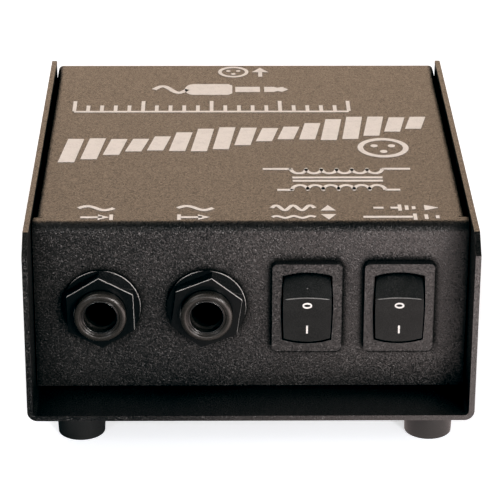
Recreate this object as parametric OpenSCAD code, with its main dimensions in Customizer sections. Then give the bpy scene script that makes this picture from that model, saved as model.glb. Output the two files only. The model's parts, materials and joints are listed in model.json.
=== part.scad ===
// Passive direct injection box: folded steel channel base, inverted steel cover,
// two plug sockets and two rocker switches in front, one three-pin outlet behind,
// and a signal transformer, pad resistors and wiring inside.
// The front faces -Y and +Z is up. The origin is under the middle of the box,
// level with the bottoms of the feet.

/* [Case] */
// Outside width of the channel base
base_w = 96; // [92:0.5:110]
// Depth of the channel base, front to back
base_d = 109.5; // [104:0.5:125]
// Height of the channel base, from its underside to the flange tops
base_h = 42.3; // [41:0.1:50]
// Thickness of the folded sheet
sheet = 1.2; // [0.9:0.1:1.5]
// Outside radius of the folds in the base
base_bend_r = 2.2; // [1.8:0.1:3]
// How far the base runs out in front of the front panel
front_overhang = 12; // [10:0.5:13]
// How far the flange tops stand above the cover's top
flange_rise = 1.4; // [0.8:0.1:2.5]
// Outside radius of the folds in the cover
cover_bend_r = 2; // [1.6:0.1:2.5]
// How far the rear panel's outer face stands behind the base's rear edge
rear_step = 1.9; // [1.5:0.1:3]

/* [Feet] */
// Height of a rubber foot
foot_h = 7.8; // [6:0.1:12]
// Diameter of a foot at its top
foot_d = 10.9; // [9:0.1:14]
// Distance of the feet from the front and rear edges
foot_inset = 11; // [8:0.5:16]
// Sideways place of the left feet
foot_left_x = -37; // [-39:0.5:-34]
// Sideways place of the right feet
foot_right_x = 39; // [34:0.5:39]

/* [Sockets] */
// Height of the sockets and switches above the base's underside
control_z = 21.8; // [20:0.1:24]
// Sideways place of the input socket
in_jack_x = -32.2; // [-33:0.1:-31]
// Sideways place of the linked output socket
out_jack_x = -9.5; // [-10:0.1:-8]
// Outside diameter of a socket's threaded bushing
bushing_d = 11.1; // [10.5:0.1:11.5]
// How far the bushing stands out of the panel
bushing_proud = 6.5; // [6:0.1:8]
// Bore for a 6.35 mm plug
plug_bore_d = 6.5; // [6.4:0.05:6.6]
// Hexagon size of a socket nut, across flats
jack_nut_af = 14.3; // [13.5:0.1:15]

/* [Switches] */
// Sideways place of the level switch
level_switch_x = 12.1; // [12:0.1:13]
// Sideways place of the ground switch
ground_switch_x = 31.9; // [31:0.1:33]
// Width of a switch's bezel
bezel_w = 15; // [14.6:0.1:15.4]
// Height of a switch's bezel
bezel_h = 20.8; // [20.6:0.1:21.4]
// How far a bezel stands out of the panel
bezel_proud = 1.8; // [1.5:0.1:2]
// Full tilt of a rocker between its two settings, in degrees
rocker_tilt = 22; // [18:1:22]

/* [Outlet] */
// Width of the outlet's square flange
outlet_flange_w = 26; // [25.5:0.1:27]
// Height of the outlet's flange
outlet_flange_h = 31; // [30.5:0.1:32]
// Sideways distance between the outlet's two screws
outlet_screw_x = 19; // [18.8:0.1:19.2]
// Upright distance between the outlet's two screws
outlet_screw_z = 24; // [23.8:0.1:24.2]

/* [Hidden] */
$fn = 64;
part_gap = 0.05;              // gap between a shaft and the hole that holds it
sheet_gap = 0.25;             // gap between the cover's skirts and the base's flanges
outlet_flange_t = 2;
outlet_rim = 1.2;             // the outlet's rim in front of its flange
cover_top = base_h - flange_rise;
cover_w = base_w - 2 * (sheet + sheet_gap);
panel_y = front_overhang;     // outer face of the front panel
rear_y = base_d + rear_step;  // outer face of the rear panel
overall_d = rear_y + outlet_flange_t + outlet_rim;
front_y = -overall_d / 2;
foot_y = [foot_inset, base_d - foot_inset];
foot_x = [foot_left_x, foot_right_x];
foot_pad_t = 0.4;             // adhesive pad between a foot and the base
side_screw_y = [30, 88];
side_screw_z = 20;
small_screw_r = 1.5;          // 3 mm screws for the outlet, transformer and tag strip
small_hole_r = 1.7;
side_screw_r = 1.75;
side_hole_r = 1.95;
floor_z = sheet;              // top of the base's floor
bushing_r = bushing_d / 2;
jack_body_y = 27;             // rear face of a socket's body, from the panel's front
jack_washer_t = 0.8;
jack_nut_t = 3.2;
spring_root = [25.2, 4.8];    // where a tip spring bends, as [depth, height]
pivot_y = 3 - bezel_proud;    // rocker pivot, behind the panel's front face
cavity_r = 8.9;
cavity_half_w = 5.75;
rocker_r = 8.45;
rocker_half_w = 5.3;
trunnion_r = 1.5;
seesaw_y = pivot_y + 7.4;     // the seesaw contact's fulcrum
seesaw_tilt = 6.6;
terminal_z = 6;
outlet_z = 20.8;
outlet_shell_r = 11.8;
outlet_bore_r = 9.55;
outlet_pin_r = 1.18;
outlet_pins = [[-4.1, 1.6], [4.1, 1.6], [0, -4]];
core_x = -18;
core_y = 62;
core_w = 27;
core_h = 22;
core_stack = 12;
core_limb = 4.5;
core_leg = 7;
clamp_t = 0.8;
clamp_tab = 7;
strip_x = 24;
strip_y = 60;
strip_w = 38;
lug_pitch = 8;

// ---- shared shapes ----

// Moves a shape from the base's own corner to the shared frame
module placed() { translate([0, front_y, foot_h]) children(); }

module block(x, y, z) {
    translate([x[0], y[0], z[0]]) cube([x[1] - x[0], y[1] - y[0], z[1] - z[0]]);
}

// Round bar along Y
module rod_y(r, from, to) {
    translate([0, to, 0]) rotate([90, 0, 0]) cylinder(r = r, h = to - from);
}

// Round bar along X, centred
module rod_x(r, length) {
    translate([-length / 2, 0, 0]) rotate([0, 90, 0]) cylinder(r = r, h = length);
}

// Cone along Y, with a radius at each end
module cone_y(r_from, r_to, from, to) {
    translate([0, to, 0]) rotate([90, 0, 0]) cylinder(r1 = r_to, r2 = r_from, h = to - from);
}

module rounded_rect(w, h, r) {
    square([w - 2 * r, h], center = true);
    square([w, h - 2 * r], center = true);
    for (x = [-1, 1], y = [-1, 1]) translate([x * (w / 2 - r), y * (h / 2 - r)]) circle(r);
}

// Flat plate with round corners that faces along Y
module plate_y(w, h, r, from, to) {
    translate([0, to, 0]) rotate([90, 0, 0]) linear_extrude(to - from) rounded_rect(w, h, r);
}

// Extrudes a YZ outline along X, centred
module along_x(length) {
    translate([-length / 2, 0, 0]) rotate([90, 0, 90]) linear_extrude(length) children();
}

// Folded strip of thickness t through a list of points, in its own plane
module strip(points, t) {
    last = len(points) - 1;
    polygon(concat(
        [for (i = [0 : last]) strip_edge(points, i, t / 2)],
        [for (i = [last : -1 : 0]) strip_edge(points, i, -t / 2)]));
}

// Point i of a strip's edge, moved sideways from the middle line, mitred at a fold
function strip_edge(points, i, off) =
    let (
        last = len(points) - 1,
        into = unit(points[max(i, 1)] - points[max(i, 1) - 1]),
        away = unit(points[min(i + 1, last)] - points[min(i + 1, last) - 1]),
        square_in = [-into[1], into[0]],
        mitre = unit(square_in + [-away[1], away[0]]))
    points[i] + off / (mitre * square_in) * mitre;

// Pan-head screw along -Z from its seat at the origin, with a cross recess
module pan_screw(r, length, head_r, head_h) {
    dome_r = (pow(head_r, 2) + pow(head_h, 2)) / (2 * head_h) + 0.6;
    difference() {
        union() {
            translate([0, 0, -length]) cylinder(r = r, h = length + 0.1);
            intersection() {
                cylinder(r = head_r, h = head_h);
                translate([0, 0, head_h - dome_r]) sphere(dome_r);
            }
        }
        for (a = [0, 90]) rotate(a) {
            translate([-head_r * 0.58, -0.35, head_h * 0.4]) cube([head_r * 1.16, 0.7, head_h]);
        }
    }
}

// Hexagon nut standing on the origin
module hex_nut(af, h, bore_r) {
    difference() {
        cylinder(r = af / 2 / cos(30), h = h, $fn = 6);
        translate([0, 0, -1]) cylinder(r = bore_r, h = h + 2);
    }
}

// Helical spring along Z
module coil(r, wire_r, turns, height) {
    steps = 14 * turns;
    sides = 6;
    points = [for (i = [0 : steps], j = [0 : sides - 1])
        let (a = 360 * turns * i / steps, b = 360 * j / sides, q = r + wire_r * cos(b))
        [q * cos(a), q * sin(a), height * i / steps + wire_r * sin(b)]];
    polyhedron(points, tube_faces(steps, sides));
}

// Triangles of a closed tube whose rings have the given number of points
function tube_faces(steps, sides) = concat(
    [for (i = [0 : steps - 1], j = [0 : sides - 1])
        let (k = (j + 1) % sides) [i * sides + j, (i + 1) * sides + j, (i + 1) * sides + k]],
    [for (i = [0 : steps - 1], j = [0 : sides - 1])
        let (k = (j + 1) % sides) [i * sides + j, (i + 1) * sides + k, i * sides + k]],
    [[for (j = [0 : sides - 1]) j]],
    [[for (j = [sides - 1 : -1 : 0]) steps * sides + j]]);

function bezier(p, t) = pow(1 - t, 3) * p[0] + 3 * pow(1 - t, 2) * t * p[1]
    + 3 * (1 - t) * t * t * p[2] + pow(t, 3) * p[3];
function unit(v) = v / norm(v);

// Insulated wire from one point to another; it leaves and arrives along the given pulls
module wire(from, leave, to, arrive, r = 0.65) {
    steps = 18;
    sides = 8;
    p = [from, from + leave, to + arrive, to];
    points = [for (i = [0 : steps])
        let (
            t = i / steps,
            ahead = unit(bezier(p, min(1, t + 0.01)) - bezier(p, max(0, t - 0.01))),
            side = unit(cross(ahead, abs(ahead[0]) > 0.9 ? [0, 1, 0] : [1, 0, 0])),
            other = cross(ahead, side))
        for (j = [0 : sides - 1])
            bezier(p, t) + r * cos(360 * j / sides) * side + r * sin(360 * j / sides) * other];
    polyhedron(points, tube_faces(steps, sides));
}

// ---- case ----

// Outline of a sheet channel of height h: a U with round outer and inner folds
module channel_outline(w, h, fold_r) {
    difference() {
        union() {
            translate([-w / 2, fold_r]) square([w, h - fold_r]);
            translate([-w / 2 + fold_r, 0]) square([w - 2 * fold_r, h]);
            for (s = [-1, 1]) translate([s * (w / 2 - fold_r), fold_r]) circle(fold_r);
        }
        translate([-w / 2 + sheet, fold_r]) square([w - 2 * sheet, h]);
        translate([-w / 2 + fold_r, sheet]) square([w - 2 * fold_r, h]);
        for (s = [-1, 1]) translate([s * (w / 2 - fold_r), fold_r]) circle(fold_r - sheet);
    }
}

module base_channel() {
    corner_y = 5;
    corner_z = 3.6;
    color("#1c1a19") placed() difference() {
        translate([0, base_d, 0]) rotate([90, 0, 0])
            linear_extrude(base_d) channel_outline(base_w, base_h, base_bend_r);
        along_x(base_w + 2)
            polygon([[-1, base_h - corner_z * 1.2], [-1, base_h + 1], [corner_y * 1.2, base_h + 1]]);
        for (y = side_screw_y) translate([0, y, side_screw_z]) rod_x(side_hole_r, base_w + 2);
        for (x = clamp_screw_x()) translate([x, core_y, -1]) cylinder(r = small_hole_r, h = sheet + 2);
        translate([strip_x, strip_y + 5, -1]) cylinder(r = small_hole_r, h = sheet + 2);
    }
}

// Solid with rounded upper edges that the cover is hollowed from; inset moves every face in
module cover_solid(inset) {
    r = cover_bend_r - inset;
    w = cover_w / 2 - inset;
    top = cover_top - inset;
    y0 = panel_y + inset;
    y1 = rear_y - inset;
    intersection() {
        along_x(2 * w) union() {
            translate([y0, -5]) square([y1 - y0, top + 5 - r]);
            translate([y0 + r, -5]) square([y1 - y0 - 2 * r, top + 5]);
            for (y = [y0 + r, y1 - r]) translate([y, top - r]) circle(r);
        }
        translate([0, y1 + 1, 0]) rotate([90, 0, 0]) linear_extrude(y1 - y0 + 2) union() {
            translate([-w, -5]) square([2 * w, top + 5 - r]);
            translate([-w + r, -5]) square([2 * (w - r), top + 5]);
            for (s = [-1, 1]) translate([s * (w - r), top - r]) circle(r);
        }
    }
}

// The front fold keeps its full width, so its ends stand square at the corners
module front_fold() {
    r = cover_bend_r;
    along_x(cover_w) difference() {
        union() {
            translate([panel_y, 2]) square([sheet, cover_top - 2 - r]);
            translate([panel_y + r, cover_top - sheet]) square([1.6, sheet]);
            translate([panel_y + r, cover_top - r]) intersection() {
                circle(r);
                translate([-r, 0]) square([r, r]);
            }
        }
        translate([panel_y + r, cover_top - r]) circle(r - sheet);
    }
}

module cover() {
    panel_gap = 2.4;
    skirt_bottom = 3;
    relief = 0.5;
    relief_y = panel_y + cover_bend_r + 1.6;
    half = cover_w / 2;
    color("#211e1c") placed() difference() {
        union() {
            difference() {
                cover_solid(0);
                cover_solid(sheet);
            }
            front_fold();
        }
        block([-half - 1, half + 1], [0, panel_y + sheet + 0.01], [-10, panel_gap]);
        block([-half - 1, half + 1], [panel_y + sheet, rear_y - sheet], [-10, skirt_bottom]);
        block([-half - 1, half + 1], [rear_y - sheet - 0.01, rear_y + 1], [-10, 0.4]);
        for (s = [-1, 1]) {
            translate([s * half, relief_y + relief / 2, cover_top])
                cube([2 * cover_bend_r, relief, 2 * cover_bend_r], center = true);
            translate([s * half, panel_y + sheet + 0.15, 0])
                cube([2 * sheet, 0.3, 2 * (cover_top - cover_bend_r)], center = true);
            translate([s * half, rear_y - sheet - 0.15, 0])
                cube([2 * sheet, 0.3, 2 * (cover_top - cover_bend_r)], center = true);
        }
        for (x = [in_jack_x, out_jack_x]) translate([x, 0, control_z]) {
            rod_y(bushing_r + 0.2, panel_y - 1, panel_y + sheet + 1);
        }
        for (x = [level_switch_x, ground_switch_x]) {
            translate([x, panel_y + sheet / 2, control_z]) cube([13.2, sheet + 2, 19.2], center = true);
        }
        translate([0, 0, outlet_z]) rod_y(outlet_shell_r + 0.2, rear_y - sheet - 1, rear_y + 1);
        for (s = [-1, 1]) translate([s * outlet_screw_x / 2, 0, outlet_z + s * outlet_screw_z / 2])
            rod_y(small_hole_r, rear_y - sheet - 1, rear_y + 1);
        for (y = side_screw_y) translate([0, y, side_screw_z]) rod_x(clinch_r() + part_gap, cover_w + 2);
    }
}

function clinch_r() = 3.2;

// Nuts pressed into the skirts from inside, for the side screws
module clinch_nuts() {
    color("silver") placed() for (y = side_screw_y, s = [0, 1]) mirror([s, 0, 0])
        translate([cover_w / 2 - 0.05, y, side_screw_z]) rotate([0, -90, 0]) difference() {
            union() {
                cylinder(r = clinch_r(), h = sheet);
                translate([0, 0, sheet]) cylinder(r = 4, h = 1.6);
            }
            translate([0, 0, -1]) cylinder(r = side_screw_r + part_gap, h = 6);
        }
}

module cover_screws() {
    color("#2a2826") placed() for (y = side_screw_y, s = [0, 1]) mirror([s, 0, 0])
        translate([base_w / 2, y, side_screw_z]) rotate([0, 90, 0]) pan_screw(side_screw_r, 6.5, 3.4, 2);
}

// ---- feet ----

module foot(column, row) {
    recess_r = 2.8;
    recess_h = 1.4;
    color("#151413") translate([foot_x[column], front_y + foot_y[row], 0]) difference() {
        cylinder(r1 = foot_d / 2 - 0.35, r2 = foot_d / 2, h = foot_h - foot_pad_t);
        translate([0, 0, -1]) cylinder(r1 = recess_r, r2 = recess_r - 0.6, h = recess_h + 1);
    }
}

module foot_front_left() { foot(0, 0); }
module foot_front_right() { foot(1, 0); }
module foot_rear_left() { foot(0, 1); }
module foot_rear_right() { foot(1, 1); }

module foot_pads() {
    color("#3a3733") for (x = foot_x, y = foot_y) translate([x, front_y + y, foot_h - foot_pad_t])
        cylinder(r = foot_d / 2 - 0.5, h = foot_pad_t);
}

// ---- sockets: y runs inwards from the panel's front face ----

module at_panel(x) { placed() translate([x, panel_y, control_z]) children(); }

module jack_housing() {
    front = sheet;
    difference() {
        union() {
            rod_y(bushing_r, 0.5 - bushing_proud, front + 1);
            cone_y(bushing_r - 0.5, bushing_r, -bushing_proud, 0.5 - bushing_proud);
            block([-8, 8], [front, jack_body_y], [-9, 9]);
        }
        rod_y(4.35, -bushing_proud - 1, 0.2 - bushing_proud);
        cone_y(4.35, 3.75, 0.19 - bushing_proud, 0.5 - bushing_proud);
        cone_y(3.75, 3.6, 0.49 - bushing_proud, 0.9 - bushing_proud);
        rod_y(3.6, 0.89 - bushing_proud, 2.2 - bushing_proud);
        cone_y(3.6, plug_bore_d / 2, 2.19 - bushing_proud, 2.6 - bushing_proud);
        rod_y(plug_bore_d / 2, -bushing_proud - 1, front + 6);
        block([-6.4, 6.4], [6, jack_body_y - 1.6], [-6.4, 10]);
        rod_y(3.4, jack_body_y - 3, jack_body_y + 1);
        block([-2.2, 2.2], [jack_body_y - 3, jack_body_y + 1], [4.3, 5.3]);
        block([-2.2, 2.2], [jack_body_y - 3, jack_body_y + 1], [-5.3, -4.3]);
        block([4.5, 5.1], [jack_body_y - 3, jack_body_y + 1], [-0.1, 4.1]);
    }
}

module jack_washer() {
    difference() {
        rod_y(8.5, -jack_washer_t, 0);
        rod_y(bushing_r + part_gap, -jack_washer_t - 1, 1);
    }
}

module jack_nut(turn) {
    translate([0, -jack_washer_t, 0]) rotate([90, 0, 0]) rotate(turn)
        hex_nut(jack_nut_af, jack_nut_t, bushing_r + part_gap);
}

// Leaf that presses on the plug's tip; its front end rests just above the switch contact,
// and it swings about a small curl at its root
module jack_tip_spring() {
    along_x(4) strip([[32, 4.8], spring_root, [22, 3.5], [20.5, 2.95], [19, 3.6], [15.5, 4.3], [13, 4.3]], 0.4);
    translate([0, spring_root[0], spring_root[1]]) rod_x(0.42, 3.6);
}

module jack_sleeve_contact() {
    along_x(4) strip([[32, -4.8], [25.2, -4.8], [12, -4.6], [9, -3.5], [7, -4.6]], 0.4);
}

// Fixed contact beside the plug, with a tab under the tip spring's front end
module jack_switch_contact() {
    block([4.6, 5], [13.2, 32], [0, 4]);
    block([-1, 5], [13.2, 15.2], [3.6, 4]);
}

module in_jack_housing() { color("#1d1b1a") at_panel(in_jack_x) jack_housing(); }
module in_jack_washer() { color("#131212") at_panel(in_jack_x) jack_washer(); }
module in_jack_nut() { color("#131212") at_panel(in_jack_x) jack_nut(92); }
module in_jack_tip_spring() { color("silver") at_panel(in_jack_x) jack_tip_spring(); }
module in_jack_sleeve_contact() { color("silver") at_panel(in_jack_x) jack_sleeve_contact(); }
module in_jack_switch_contact() { color("silver") at_panel(in_jack_x) jack_switch_contact(); }
module out_jack_housing() { color("#1d1b1a") at_panel(out_jack_x) jack_housing(); }
module out_jack_washer() { color("#131212") at_panel(out_jack_x) jack_washer(); }
module out_jack_nut() { color("#131212") at_panel(out_jack_x) jack_nut(82); }
module out_jack_tip_spring() { color("silver") at_panel(out_jack_x) jack_tip_spring(); }
module out_jack_sleeve_contact() { color("silver") at_panel(out_jack_x) jack_sleeve_contact(); }
module out_jack_switch_contact() { color("silver") at_panel(out_jack_x) jack_switch_contact(); }

// ---- rocker switches: y runs inwards from the panel's front face ----

// Barrel about the rocker's pivot, with bowed ends and bowed sides
module barrel(r, half_w) {
    side_bow = 90;
    end_bow = 18;
    translate([0, pivot_y, 0]) rotate([0, 90, 0]) rotate_extrude() intersection() {
        translate([0, -half_w]) square([r, 2 * half_w]);
        translate([0, side_bow - half_w]) circle(side_bow);
        translate([0, half_w - side_bow]) circle(side_bow);
        translate([r - end_bow, 0]) circle(end_bow);
    }
}

module switch_housing() {
    body_y = 12.5;
    difference() {
        union() {
            plate_y(bezel_w, bezel_h, 1.1, -bezel_proud, 0);
            block([-6.55, 6.55], [-0.5, body_y], [-9.5, 9.5]);
            for (s = [0, 1]) mirror([0, 0, s]) along_x(5)
                polygon([[sheet + 0.05, 9.4], [sheet + 0.05, 10.1], [5, 9.4]]);
        }
        barrel(cavity_r, cavity_half_w);
        block([-3.2, 3.2], [4, 10.4], [-8.2, 8.2]);
        translate([0, pivot_y, 0]) rod_x(trunnion_r + part_gap, 12.7);
        for (z = [-terminal_z, 0, terminal_z])
            block([-2.45, 2.45], [10, body_y + 1], [z - 0.45, z + 0.45]);
    }
}

// The rocker at rest has its upper half pressed in. A ridge parts its two faces.
module rocker() {
    ridge = [-4, 2.75];
    lower_end = [-4.7, -7.4];
    upper_end = [-0.9, 8.8];
    hollow_wall = 1.3;
    difference() {
        union() {
            intersection() {
                barrel(rocker_r, rocker_half_w);
                translate([0, pivot_y, 0]) along_x(20)
                    polygon([ridge, lower_end, [-3, -12], [0.6, -12], [2.6, 12], [upper_end[0] + 1, 12], upper_end]);
            }
            translate([0, pivot_y, 0]) rod_x(trunnion_r, 12.5);
            rocker_axis() translate([0, 0, -3]) cylinder(r = 2.1, h = 7.3);
        }
        // shallow hollow along the lower face
        translate([0, pivot_y - 4.35 - 36.9, -2.6]) rod_x(36.7 + 0.45, 20);
        // hollow behind the face, outside the plunger's sleeve
        difference() {
            intersection() {
                barrel(rocker_r - hollow_wall, rocker_half_w - hollow_wall);
                translate([0, pivot_y, 0]) along_x(20)
                    polygon([[-2.6, 1.8], [-3.2, -7.4], [4, -10], [6, 10], [0.6, 8.8]]);
            }
            rocker_axis() translate([0, 0, -6]) cylinder(r = 2.1, h = 12);
            translate([0, pivot_y, 0]) rod_x(trunnion_r, 12.5);
        }
        rocker_axis() translate([0, 0, -1.6]) cylinder(r = 1.25, h = 10);
    }
}

// Z along the plunger, which points inwards and leans down at rest
module rocker_axis() {
    translate([0, pivot_y, 0]) rotate([-90 - rocker_tilt / 2, 0, 0]) children();
}

module plunger() {
    rocker_axis() {
        translate([0, 0, 2.6]) cylinder(r = 1.15, h = 2.8);
        translate([0, 0, 5.4]) sphere(1.05);
    }
}

module plunger_spring() {
    rocker_axis() translate([0, 0, -1.2]) coil(0.85, 0.2, 5, 3.5);
}

// Contact that tips about the middle terminal as the plunger passes over it
module seesaw_contact() {
    translate([0, seesaw_y, 0]) rotate([seesaw_tilt, 0, 0]) {
        block([-1.6, 1.6], [-0.65, -0.15], [-7, 7]);
        rod_x(0.6, 3.2);
        for (z = [-terminal_z, terminal_z]) translate([0, 0, z]) rod_y(0.8, -0.2, 0.35);
    }
}

module switch_terminals() {
    blade_end = 20;
    for (z = [-terminal_z, terminal_z]) {
        difference() {
            union() {
                block([-2.4, 2.4], [seesaw_y + 1.2, blade_end], [z - 0.4, z + 0.4]);
                translate([0, 0, z]) rod_y(1.2, seesaw_y + 1.2, 10.35);
            }
            translate([0, 17.5, z]) cylinder(r = 0.8, h = 3, center = true);
        }
    }
    difference() {
        union() {
            block([-2.4, 2.4], [9.3, blade_end], [-0.4, 0.4]);
            block([-1.5, 1.5], [seesaw_y, 10.35], [-1.2, 1.2]);
        }
        translate([0, seesaw_y, 0]) rod_x(0.68, 6);
        block([-2, 2], [seesaw_y - 1, seesaw_y + 0.25], [-2, 2]);
        translate([0, 17.5, 0]) cylinder(r = 0.8, h = 3, center = true);
    }
}

module level_switch_housing() { color("#201e1e") at_panel(level_switch_x) switch_housing(); }
module level_rocker() { color("#161616") at_panel(level_switch_x) rocker(); }
module level_plunger() { color("ivory") at_panel(level_switch_x) plunger(); }
module level_plunger_spring() { color("silver") at_panel(level_switch_x) plunger_spring(); }
module level_seesaw_contact() { color("peru") at_panel(level_switch_x) seesaw_contact(); }
module level_terminals() { color("silver") at_panel(level_switch_x) switch_terminals(); }
module ground_switch_housing() { color("#201e1e") at_panel(ground_switch_x) switch_housing(); }
module ground_rocker() { color("#161616") at_panel(ground_switch_x) rocker(); }
module ground_plunger() { color("ivory") at_panel(ground_switch_x) plunger(); }
module ground_plunger_spring() { color("silver") at_panel(ground_switch_x) plunger_spring(); }
module ground_seesaw_contact() { color("peru") at_panel(ground_switch_x) seesaw_contact(); }
module ground_terminals() { color("silver") at_panel(ground_switch_x) switch_terminals(); }

// ---- outlet: y runs outwards from the rear panel's outer face ----

module at_outlet() { placed() translate([0, rear_y, outlet_z]) children(); }

module outlet_screw_places() {
    for (s = [-1, 1]) translate([s * outlet_screw_x / 2, 0, s * outlet_screw_z / 2]) children();
}

module outlet_shell() {
    shell_in = 16;
    color("#1b1a1a") at_outlet() difference() {
        union() {
            plate_y(outlet_flange_w, outlet_flange_h, 3, 0, outlet_flange_t);
            rod_y(11.2, 1, outlet_flange_t + outlet_rim);
            rod_y(outlet_shell_r, -shell_in, 1);
        }
        rod_y(outlet_bore_r, -shell_in - 1, outlet_flange_t + outlet_rim + 1);
        block([-2, 2], [-9, outlet_flange_t + outlet_rim + 1], [0, outlet_bore_r + 0.9]);
        outlet_screw_places() {
            rod_y(small_hole_r, -1, outlet_flange_t + 1);
            cone_y(1.5, 3.2, outlet_flange_t - 1.7, outlet_flange_t + 0.001);
        }
    }
}

module outlet_insert() {
    color("#151515") at_outlet() difference() {
        rod_y(outlet_bore_r - part_gap, -15.8, -12.3);
        for (p = outlet_pins) translate([p[0], 0, p[1]]) rod_y(outlet_pin_r + 0.02, -17, -10);
    }
}

module outlet_pins() {
    tip_y = -3;
    cup_y = -21;
    color("gold") at_outlet() for (p = outlet_pins) translate([p[0], 0, p[1]]) difference() {
        union() {
            rod_y(outlet_pin_r, cup_y, tip_y - outlet_pin_r);
            translate([0, tip_y - outlet_pin_r, 0]) sphere(outlet_pin_r);
        }
        rod_y(0.8, cup_y - 1, cup_y + 3);
    }
}

module outlet_screws() {
    color("#2a2826") at_outlet() outlet_screw_places() difference() {
        union() {
            rod_y(small_screw_r, -5, outlet_flange_t - 1);
            cone_y(small_screw_r, 3, outlet_flange_t - 1.6, outlet_flange_t - 0.05);
        }
        for (a = [0, 90]) rotate([0, a, 0])
            translate([-1.6, outlet_flange_t - 0.9, -0.3]) cube([3.2, 2, 0.6]);
    }
}

module outlet_nuts() {
    color("silver") at_outlet() outlet_screw_places()
        translate([0, -sheet, 0]) rotate([90, 0, 0]) hex_nut(5.5, 2.3, small_screw_r + part_gap);
}

// ---- transformer ----

module at_core() { placed() translate([core_x, core_y, floor_z]) children(); }

function clamp_screw_x() = [for (s = [-1, 1]) core_x + s * (core_w / 2 + clamp_t + clamp_tab / 2)];

module transformer_core() {
    window_h = core_h - 2 * core_limb + 1;
    color("#57534e") at_core() difference() {
        block([-core_w / 2, core_w / 2], [-core_stack / 2, core_stack / 2], [0, core_h]);
        for (s = [0, 1]) mirror([s, 0, 0])
            block([core_leg / 2, core_w / 2 - core_limb], [-20, 20], [core_limb - 0.5, core_limb - 0.5 + window_h]);
    }
}

// Hollow rectangular sleeve around the core's middle leg
module sleeve(grow_in, grow_out, z) {
    difference() {
        block([-core_leg / 2 - grow_out, core_leg / 2 + grow_out],
            [-core_stack / 2 - grow_out, core_stack / 2 + grow_out], z);
        block([-core_leg / 2 - grow_in, core_leg / 2 + grow_in],
            [-core_stack / 2 - grow_in, core_stack / 2 + grow_in], [z[0] - 1, z[1] + 1]);
    }
}

module transformer_bobbin() {
    low = core_limb - 0.4;
    high = core_h - core_limb + 0.4;
    color("#d8d2c0") at_core() {
        sleeve(0.1, 0.8, [low, high]);
        sleeve(0.1, 5.3, [low, low + 1]);
        sleeve(0.1, 5.3, [high - 1, high]);
    }
}

module transformer_winding() {
    color("#9c5a2c") at_core() sleeve(0.85, 4.4, [core_limb + 0.7, core_h - core_limb - 0.7]);
}

module transformer_tape() {
    color("#c9a227") at_core() sleeve(4.45, 4.8, [core_limb + 0.9, core_h - core_limb - 0.9]);
}

module transformer_clamp() {
    half = core_w / 2 + clamp_t;
    color("#b9b9b4") at_core() difference() {
        union() {
            block([-half, half], [-5, 5], [core_h, core_h + clamp_t]);
            for (s = [0, 1]) mirror([s, 0, 0]) {
                block([half - clamp_t, half], [-5, 5], [0, core_h + 0.1]);
                block([half - 0.1, half + clamp_tab], [-5, 5], [0, clamp_t]);
            }
        }
        for (x = clamp_screw_x()) translate([x - core_x, 0, -1]) cylinder(r = small_hole_r, h = 4);
    }
}

module transformer_screws() {
    color("silver") placed() for (x = clamp_screw_x())
        translate([x, core_y, 0]) mirror([0, 0, 1]) pan_screw(small_screw_r, sheet + clamp_t + 3.4, 2.8, 1.8);
}

module transformer_nuts() {
    color("silver") placed() for (i = [0, 1])
        translate([clamp_screw_x()[i], core_y, floor_z + clamp_t + (i == 1 ? 0.5 : 0)])
            hex_nut(5.5, 2.3, small_screw_r + part_gap);
}

// Solder tag held under one transformer nut
module ground_lug() {
    color("silver") placed() translate([clamp_screw_x()[1], core_y, floor_z + clamp_t]) difference() {
        union() {
            cylinder(r = 3, h = 0.5);
            block([-1.5, 1.5], [0, 10], [0, 0.5]);
        }
        translate([0, 0, -1]) cylinder(r = small_hole_r, h = 3);
        translate([0, 8, -1]) cylinder(r = 0.8, h = 3);
    }
}

// ---- tag strip with the pad resistors ----

module at_strip() { placed() translate([strip_x, strip_y, floor_z]) children(); }

module tag_strip_board() {
    color("#8a5a32") at_strip() difference() {
        block([-strip_w / 2, strip_w / 2], [-0.8, 0.8], [5, 14]);
        for (i = [-2 : 2]) translate([i * lug_pitch, 0, 9]) rod_y(1, -2, 2);
    }
}

// Riveted solder lugs; the middle one carries the strip's mounting foot
module tag_strip_lugs() {
    color("silver") at_strip() for (i = [-2 : 2]) translate([i * lug_pitch, 0, 0]) difference() {
        union() {
            block([-1.5, 1.5], [0.8, 1.3], [7, 18]);
            translate([0, 0, 9]) rod_y(0.95, -1.3, 1);
            translate([0, 0, 9]) rod_y(1.6, -1.3, -0.8);
            if (i == 0) {
                block([-3, 3], [0.8, 1.6], [0, 12]);
                block([-3, 3], [1.5, 9], [0, 0.8]);
            }
        }
        translate([0, 0, 16]) rod_y(0.7, -2, 3);
        if (i == 0) translate([0, 5, -1]) cylinder(r = small_hole_r, h = 4);
    }
}

module tag_strip_screw() {
    color("silver") placed() translate([strip_x, strip_y + 5, 0]) mirror([0, 0, 1])
        pan_screw(small_screw_r, sheet + 0.8 + 3.2, 2.8, 1.8);
}

module tag_strip_nut() {
    color("silver") placed() translate([strip_x, strip_y + 5, floor_z + 0.8])
        hex_nut(5.5, 2.3, small_screw_r + part_gap);
}

// Resistors that bridge neighbouring lugs, in front of them, with leads bent through the lugs' eyes
module pad_resistors() {
    lead_r = 0.25;
    front = -1.8;
    half = lug_pitch / 2 - 0.35;
    color("#c8a878") at_strip() for (i = [-2, -1, 1]) translate([(i + 0.5) * lug_pitch, front, 16]) {
        rod_x(1.2, 5.4);
        rod_x(lead_r, 2 * half);
        for (s = [-1, 1]) translate([s * half, 0, 0]) rod_y(lead_r, -lead_r, 3.8);
    }
}

// ---- wiring ----

jack_lug_y = panel_y + 32.1;
terminal_y = panel_y + 20.1;
pin_y = rear_y - 21.1;

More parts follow.
